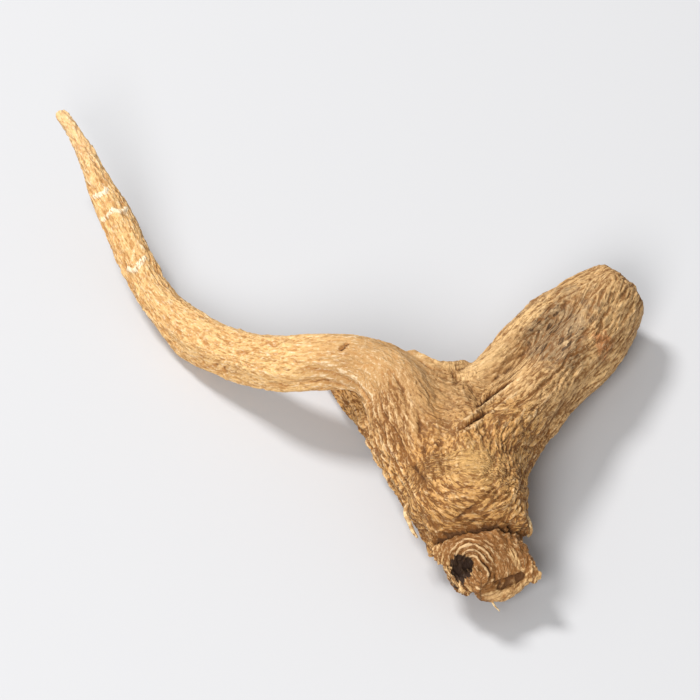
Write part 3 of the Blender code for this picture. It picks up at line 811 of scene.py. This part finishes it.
TANS = (0.56, 0.285, 0.085), (0.63, 0.35, 0.118)
LEG_CREAM = (0.76, 0.475, 0.195)
STRAND_BUFF = (0.66, 0.415, 0.185)
BROWN_BLOTCH = (0.50, 0.235, 0.065)
CALM_BROWN = (0.43, 0.24, 0.095)
AMBER = (0.48, 0.215, 0.045)
BULGE_GOLD = (0.70, 0.42, 0.145)
NECK_BROWN = (0.25, 0.10, 0.024)
DUST_GREY, DUST_DOT = (0.27, 0.175, 0.093), (0.085, 0.044, 0.02)
RUST = (0.60, 0.20, 0.058)
TIP_CREAM = (0.90, 0.71, 0.46)
SHADE_BROWN_IN_HOLLOWS = (0.10, 0.04, 0.012)
SCAR_BOWL_SHADE = (0.022, 0.010, 0.005)
# What comes twice is for the body first and for the paler long leg second.
WORN_AND_HIGHLIT = (0.78, 0.50, 0.22), (0.97, 0.87, 0.66)
CRACK = (0.20, 0.08, 0.018), (0.48, 0.23, 0.07)
VALLEY_SHADE = (0.215, 0.083, 0.017), (0.44, 0.195, 0.055)
CREST = (0.85, 0.58, 0.30), (0.95, 0.78, 0.53)
GRIT = (0.26, 0.115, 0.03), (0.52, 0.27, 0.09)
THREAD = (0.18, 0.07, 0.016), (0.46, 0.22, 0.065)

# The patterns that the tints and the bump share.
fibres = cloud(2.8, 2.0, 3.0, True)
specks = cloud(2000.0, 2.0, 5.0)
grit = cloud(2300.0, 2.0, 21.0)
threads = cloud(3.4, 2.0, 51.0, True)
lines = creases(0.85, 12.0, 0.2)
hairlines = creases(1.9, 31.0, 0.2)
height = blend(read("relief"), blend(fibres, specks, 0.25), 0.5)
on_leg = ramp(read("leg"), 0.1, 0.9)
crest = mix(on_leg, *CREST)

# The tints of the root's regions.
colour = mix(ramp(cloud(170.0), 0.35, 0.68), *TANS)
colour = mix(on_leg, colour, LEG_CREAM)
colour = mix(ramp(read("strand"), 0.1, 0.9, 0.8), colour, STRAND_BUFF)
colour = mix(ramp(cloud(520.0, 3.0, 3.0), 0.52, 0.75, 0.35), colour, BROWN_BLOTCH)
colour = mix(ramp(read("calm"), 0.1, 0.9, 0.75), colour, CALM_BROWN)
amber = blend(read("amber"), cloud(700.0, 2.0, 8.0), 1.4)
colour = mix(ramp(amber, 1.05, 1.6, 0.45), colour, AMBER)
colour = mix(ramp(read("bulge"), 0.2, 1.0, 0.6), colour, BULGE_GOLD)
colour = mix(ramp(read("neck"), 0.3, 1.0, 0.88), colour, NECK_BROWN)
dusty = blend(read("dust"), cloud(900.0, 3.0, 2.0), 1.1)
colour = mix(ramp(dusty, 0.8, 1.35, 0.8), colour, DUST_GREY)
rusty = blend(read("rust"), cloud(900.0, 2.0, 6.0), 1.2)
colour = mix(ramp(rusty, 1.05, 1.55, 0.7), colour, RUST)
# The pale places are worn paler, and along the inner strand's top this is a painted highlight.
worn_and_highlit = ramp(blend(read("pale"), cloud(1000.0, 2.0, 9.0), 1.2), 0.9, 1.5)
palest = mix(ramp(read("leg"), 0.85, 0.95), *WORN_AND_HIGHLIT)
colour = mix(ramp(worn_and_highlit, 0.0, 1.0, 0.75), colour, palest)

# Cracks, valleys, crests, grit and threads, each darker or paler than the skin; the darker
# valleys are painted shade and the paler crests a painted highlight.
broken = ramp(cloud(1.1, 2.0, 44.0, True), 0.38, 0.54)
cracks = blend(ramp(lines, 0.5, 0.0), ramp(hairlines, 0.5, 0.0), 0.6)
cracks = times(times(ramp(cracks, 0.1, 0.9, 0.95), broken), ramp(read("rough"), 0.0, 0.9))
colour = mix(cracks, colour, mix(on_leg, *CRACK))
# Painted shade darkens the wrinkles' valleys; the crests then get a painted highlight.
low = times(ramp(height, 0.25, 0.12, 0.95), ramp(read("rough"), -0.5, 0.8))
colour = mix(low, colour, mix(on_leg, *VALLEY_SHADE))
colour = mix(ramp(height, 0.35, 0.50, 0.66), colour, crest)
colour = mix(ramp(grit, 0.47, 0.35, 0.3), colour, mix(on_leg, *GRIT))
colour = mix(ramp(grit, 0.54, 0.68, 0.22), colour, crest)
darker = times(ramp(threads, 0.43, 0.36, 0.9), ramp(read("rough"), -0.3, 0.9))
colour = mix(darker, colour, mix(on_leg, *THREAD))
colour = mix(ramp(threads, 0.59, 0.70, 0.4), colour, crest)
dots = ramp(cloud(3.0, 2.0, 17.0, True), 0.47, 0.38, 0.92)
colour = mix(times(dots, ramp(dusty, 1.0, 1.5)), colour, DUST_DOT)
colour = mix(ramp(read("tip"), 0.3, 1.0, 0.15), colour, TIP_CREAM)
# Painted shade in hollows and creases, such as under the arch's rim, darkest where the skin
# lies deepest below the skin round it.
colour = mix(ramp(read("hollow_shade_depth"), 0.12, 0.36, 0.9), colour, SHADE_BROWN_IN_HOLLOWS)
# Painted shade: the inside of the stem scar's bowl is darkened to near black, less on its pale
# edges.
scar_bowl_shade = blend(blend(read("scar"), cloud(1100.0, 2.0, 4.0), 0.9), read("pale"), -0.8)
scar_bowl_shade = blend(scar_bowl_shade, ramp(threads, 0.5, 0.62), -0.3)
colour = mix(ramp(scar_bowl_shade, 0.75, 1.2, 0.94), colour, SCAR_BOWL_SHADE)
tree.links.new(colour, shader.inputs["Base Color"])
shader.inputs["Specular IOR Level"].default_value = 0.3

# Crests are worn a little smoother than valleys.
roughness = add("ShaderNodeMapRange")
for name, value in (("From Min", 0.2), ("From Max", 0.5), ("To Min", 0.82), ("To Max", 0.5)):
    roughness.inputs[name].default_value = value
tree.links.new(height, roughness.inputs["Value"])
tree.links.new(roughness.outputs["Result"], shader.inputs["Roughness"])
bump = add("ShaderNodeBump")
bump.inputs["Strength"].default_value = 0.8
bump.inputs["Distance"].default_value = 0.2 * MM
ground = blend(blend(times(lines, read("rough")), hairlines, 0.25), fibres)
tree.links.new(blend(blend(ground, grit, 0.5), threads, 0.9), bump.inputs["Height"])
tree.links.new(bump.outputs["Normal"], shader.inputs["Normal"])
fine.materials.clear()
fine.materials.append(material)
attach(skin, "root")
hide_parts("ginseng_root")

# Torn skin: thin curled strips of the skin that came loose at both shoulders when
# the root dried, and a stray fibre under the neck's end. They hold on by one end.
TORN_STRIPS = [
    [(11.4, -30.6, 8.3, 0.30), (10.3, -32.0, 7.9, 0.32), (10.3, -33.0, 7.5, 0.34),
     (10.8, -34.0, 7.1, 0.32), (11.3, -35.2, 6.6, 0.28), (12.0, -36.2, 6.2, 0.14)],
    [(26.4, -32.0, 8.8, 0.30), (27.3, -33.3, 7.8, 0.36), (27.8, -34.3, 7.0, 0.36),
     (27.8, -34.9, 6.2, 0.32), (27.5, -35.1, 5.8, 0.2)],
    [(22.4, -45.4, 4.2, 0.22), (23.0, -46.1, 3.0, 0.15), (23.8, -46.5, 2.2, 0.08)],
]
form = bmesh.new()
for rows in TORN_STRIPS:
    add_strip(form, rows, sides=10)
bmesh.ops.recalc_face_normals(form, faces=form.faces)
for face in form.faces:
    face.smooth = True
torn = make_piece("torn_skin", form)
torn_material = bpy.data.materials.new("torn_skin_fibre")
torn_material.use_nodes = True
tree = torn_material.node_tree
shader = tree.nodes["Principled BSDF"]
DRY_BROWN, DRY_CREAM = (0.45, 0.24, 0.08), (0.86, 0.63, 0.33)
colour = mix(ramp(cloud(1500.0), 0.35, 0.65), DRY_BROWN, DRY_CREAM)
tree.links.new(colour, shader.inputs["Base Color"])
shader.inputs["Roughness"].default_value = 0.7
bump = add("ShaderNodeBump")
bump.inputs["Distance"].default_value = 0.4 * MM
tree.links.new(cloud(3000.0), bump.inputs["Height"])
tree.links.new(bump.outputs["Normal"], shader.inputs["Normal"])
torn.data.materials.append(torn_material)
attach(torn, "root")

# The table top: a plain pale matt sheet under the root, larger than the picture. It
# isn't part of the root. It lies a hair below it, so that the two don't share a face.
form = bmesh.new()
bmesh.ops.create_grid(form, x_segments=1, y_segments=1, size=3.0)
floor = make_piece("table_top", form)
floor.location.z = -0.02 * MM
paper = bpy.data.materials.new("pale_table")
paper.use_nodes = True
shader = paper.node_tree.nodes["Principled BSDF"]
shader.inputs["Base Color"].default_value = (0.56, 0.56, 0.57, 1.0)
shader.inputs["Roughness"].default_value = 0.9
floor.data.materials.append(paper)


# Soft studio light: a large lamp high at the back left, a wide one low in front, and
# a pale room. Plain display colours keep the skin's own tan.
def lamp(name, place, aim, size, power):
    data = bpy.data.lights.new(name, "AREA")
    data.shape = "DISK"
    data.size = size
    data.energy = power
    thing = bpy.data.objects.new(name, data)
    bpy.context.scene.collection.objects.link(thing)
    thing.location = place
    thing.rotation_euler = (Vector(aim) - Vector(place)).to_track_quat("-Z", "Y").to_euler()


lamp("key_lamp", (-0.48, 0.43, 0.84), (0, 0, 0), 0.30, 9.8)
lamp("front_lamp", (-0.20, -0.95, 0.65), (0, 0, 0), 0.5, 11.4)
room = bpy.data.worlds.new("room")
bpy.context.scene.world = room
room.use_nodes = True
room.node_tree.nodes["Background"].inputs["Color"].default_value = (1.0, 1.0, 1.0, 1.0)
room.node_tree.nodes["Background"].inputs["Strength"].default_value = 0.36
bpy.context.scene.view_settings.view_transform = "Standard"

# The camera looks from where the photograph was taken, 42.5 degrees above the table,
# with a longer lens, so that the root fills the picture.
camera_data = bpy.data.cameras.new("camera")
camera = bpy.data.objects.new("camera", camera_data)
bpy.context.scene.collection.objects.link(camera)
camera_data.sensor_width = 36.0
camera_data.lens = 384.0
camera_data.clip_end = 20.0
camera.location = Vector((25.456, -788.673, 739.461)) * MM
target = Vector((1.4, 0.4, 8.0)) * MM
camera.rotation_euler = (target - camera.location).to_track_quat("-Z", "Y").to_euler()
bpy.context.scene.camera = camera
